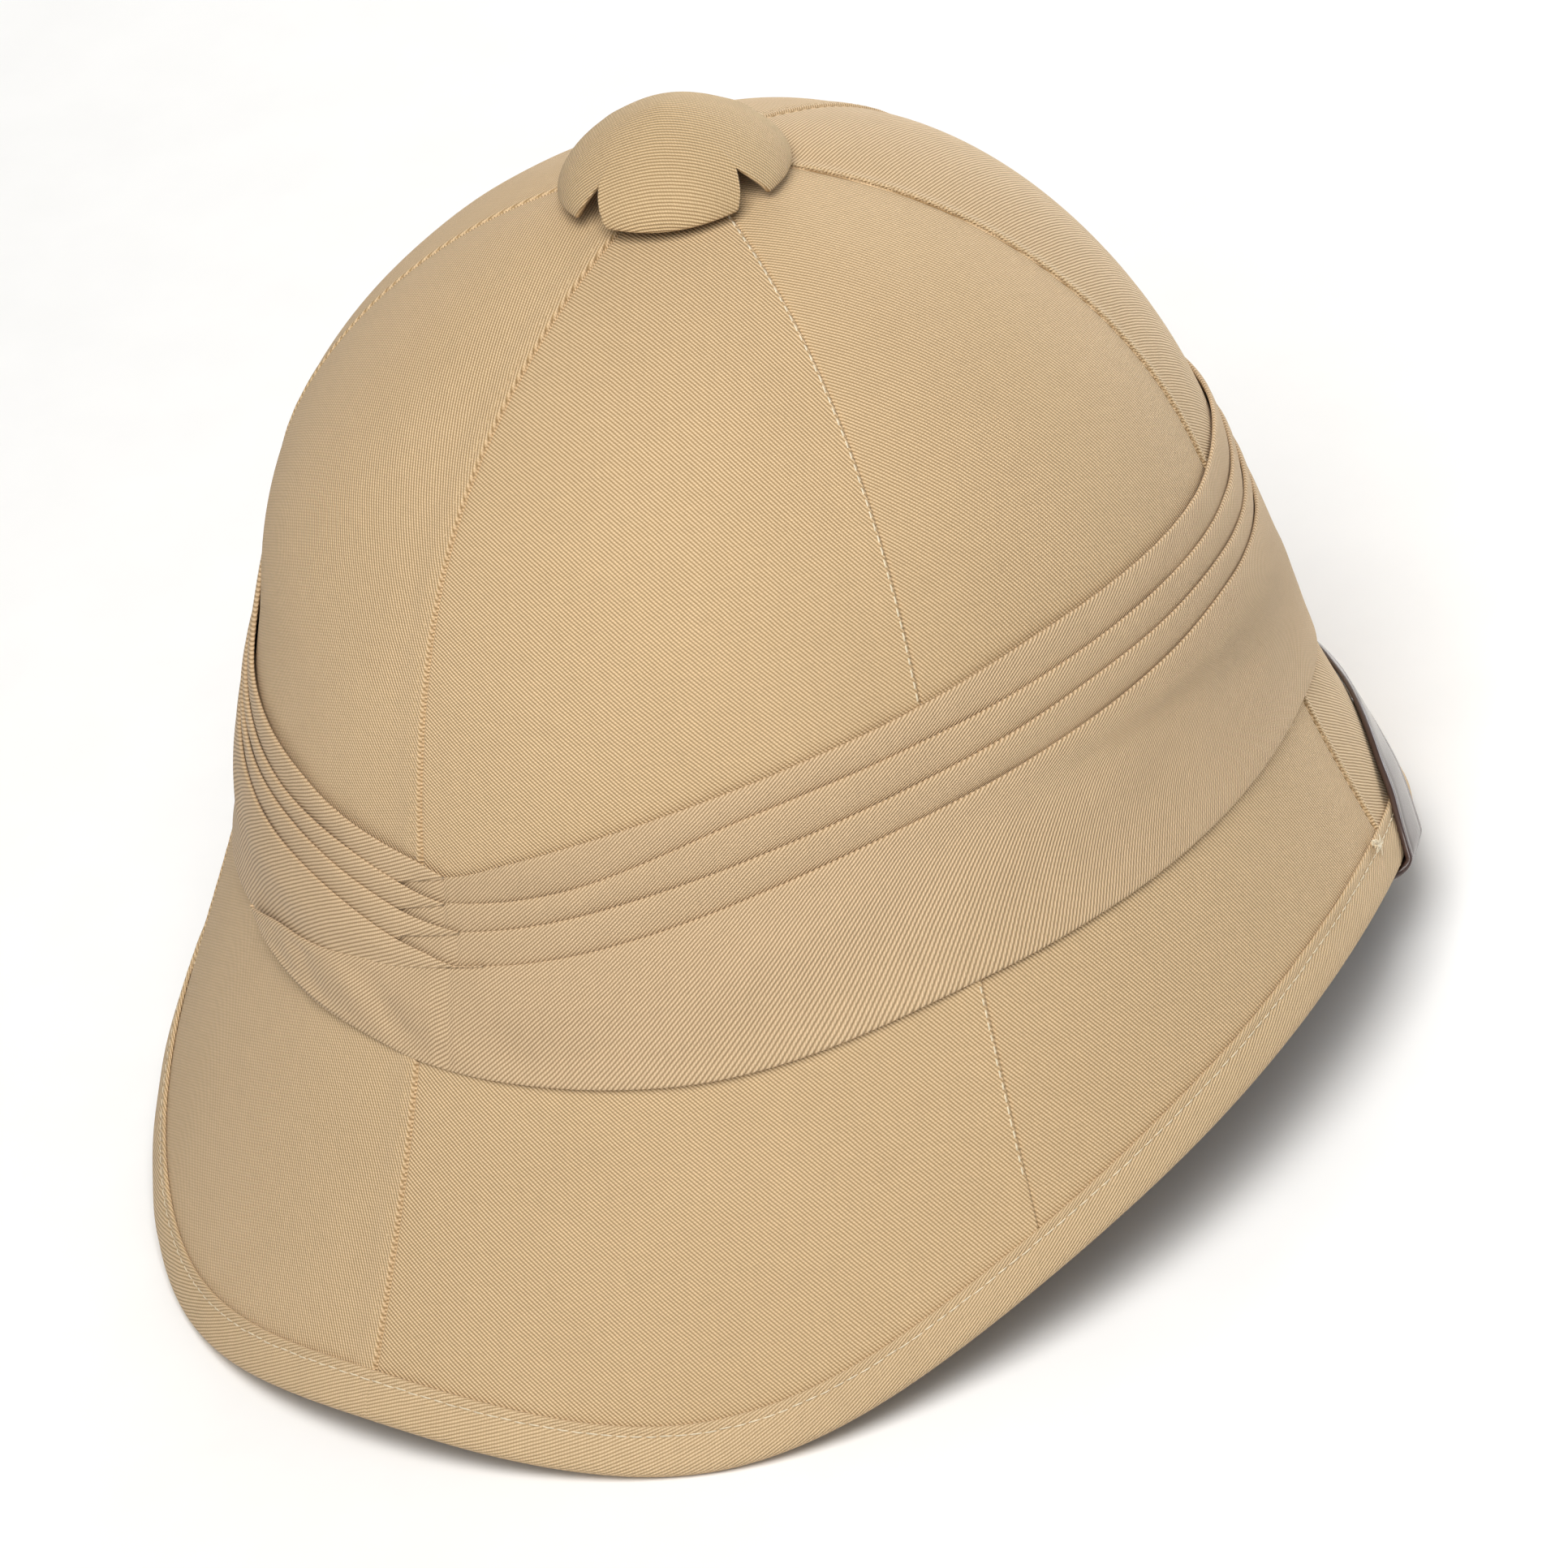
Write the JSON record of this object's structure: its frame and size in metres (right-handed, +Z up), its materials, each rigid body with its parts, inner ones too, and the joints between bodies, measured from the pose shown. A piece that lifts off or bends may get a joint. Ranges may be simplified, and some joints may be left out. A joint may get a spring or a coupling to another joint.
{
  "type": "pith helmet",
  "caption": "Cloth-covered pith helmet with a pleated wrap-around band, sloping bound brim, lobed vent cap and leather chin strap laid over the front brim.",
  "frame": {"origin": "middle of the helmet's bounding box in plan, on the surface it rests on", "axes": "+Z up as it rests on its brim, the wearer's front towards -Y, the longer rear brim towards +Y, the wearer's left towards +X"},
  "size_m": [0.2686, 0.3044, 0.2263],
  "materials": {
    "cover_cloth": "khaki cotton twill drawn over a cork shell, matt, sewn from six panels",
    "band_cloth": "khaki cotton twill laid in four pleats over one wide fold, matt",
    "binding_cloth": "khaki twill tape folded over the edge with one row of pale stitches, matt",
    "cap_cloth": "khaki twill with bold ribs over a stiff dome, matt",
    "strap_leather": "dark brown smooth leather, polished outer face and matt cut edge",
    "fitting_brass": "plain brass, hidden fittings"
  },
  "bodies": {
    "root": {"helmet_body": "cover_cloth", "puggaree_band": "band_cloth", "brim_binding": "binding_cloth", "ventilator_cap": "cap_cloth", "cap_post": "fitting_brass", "chin_strap": "strap_leather", "strap_stud_right": "fitting_brass", "strap_stud_left": "fitting_brass"}
  },
  "joints": []
}
